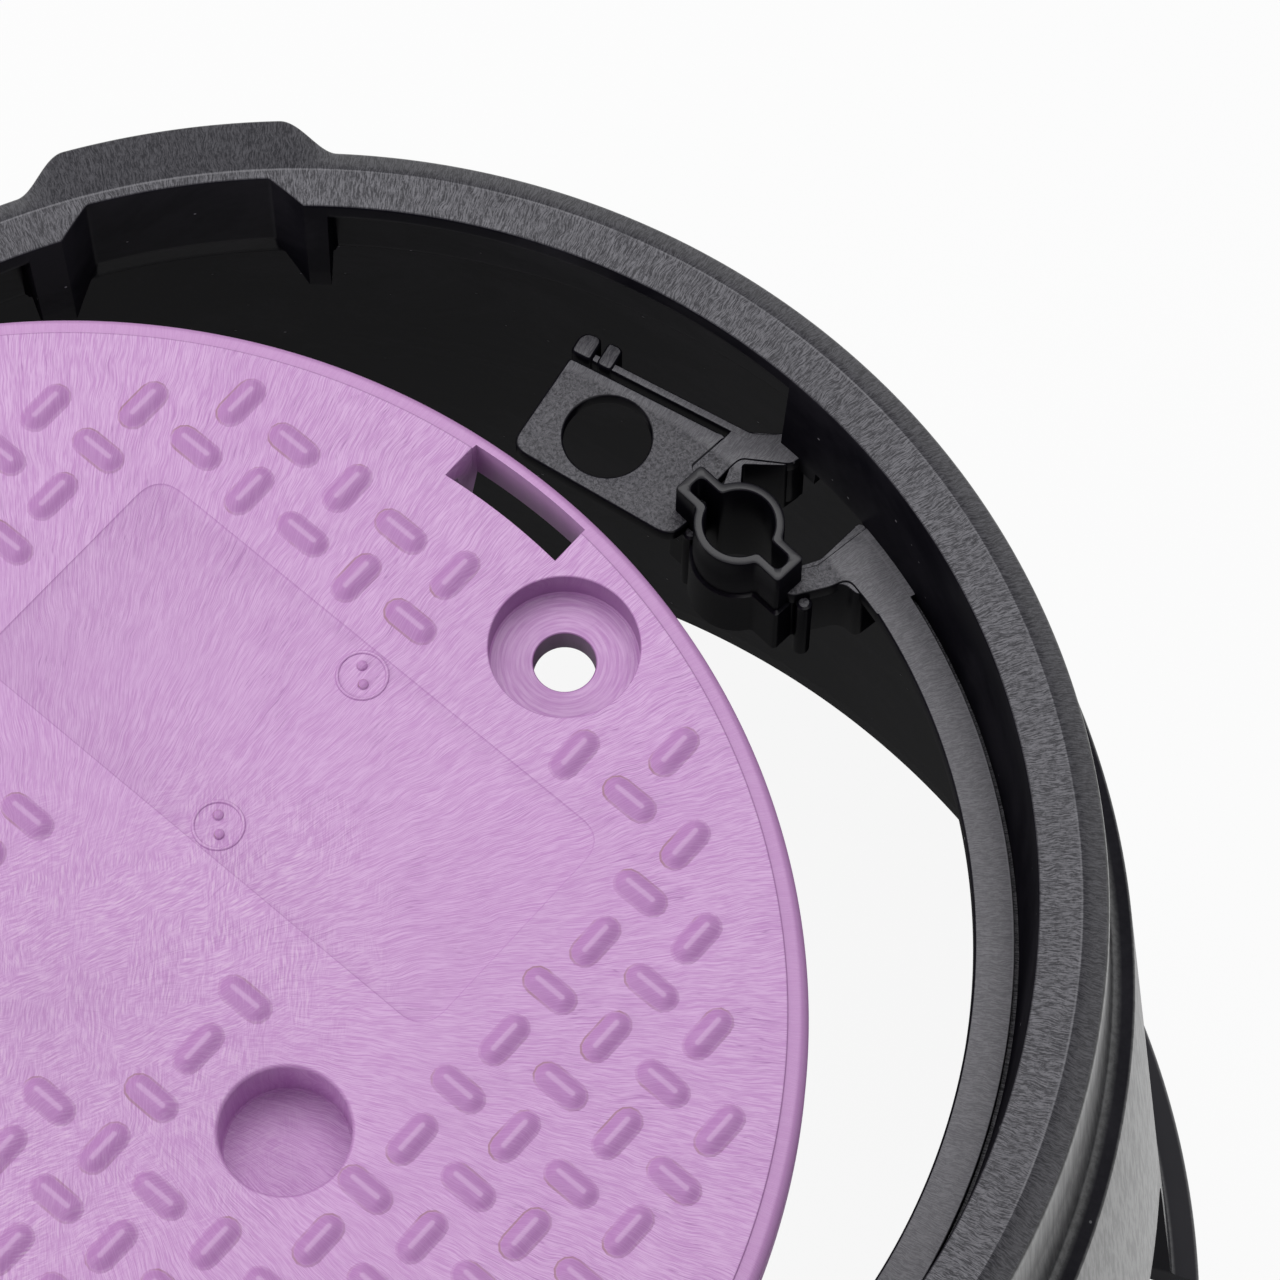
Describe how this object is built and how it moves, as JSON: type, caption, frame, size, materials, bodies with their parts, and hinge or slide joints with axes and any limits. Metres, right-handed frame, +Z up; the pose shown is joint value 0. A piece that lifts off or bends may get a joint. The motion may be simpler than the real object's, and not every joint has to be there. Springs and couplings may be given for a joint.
{
  "type": "valve box with cover",
  "caption": "Round flared valve box of black moulded plastic with a lock socket and pipe slots, and a loose purple cover with a bar tread.",
  "frame": {"origin": "centre of the base circle, on the plane that the box stands on", "axes": "+Z up along the box axis, +Y towards the pry lug on the rim, +X to the right of it seen from above"},
  "size_m": [0.35, 0.35, 0.264],
  "materials": {
    "black_plastic": "moulded, fine rubbed grain on the upper faces",
    "purple_plastic": "moulded, with fibrous flow marks"
  },
  "bodies": {
    "root": {"box_body": "black_plastic", "cover": "purple_plastic"}
  },
  "joints": []
}
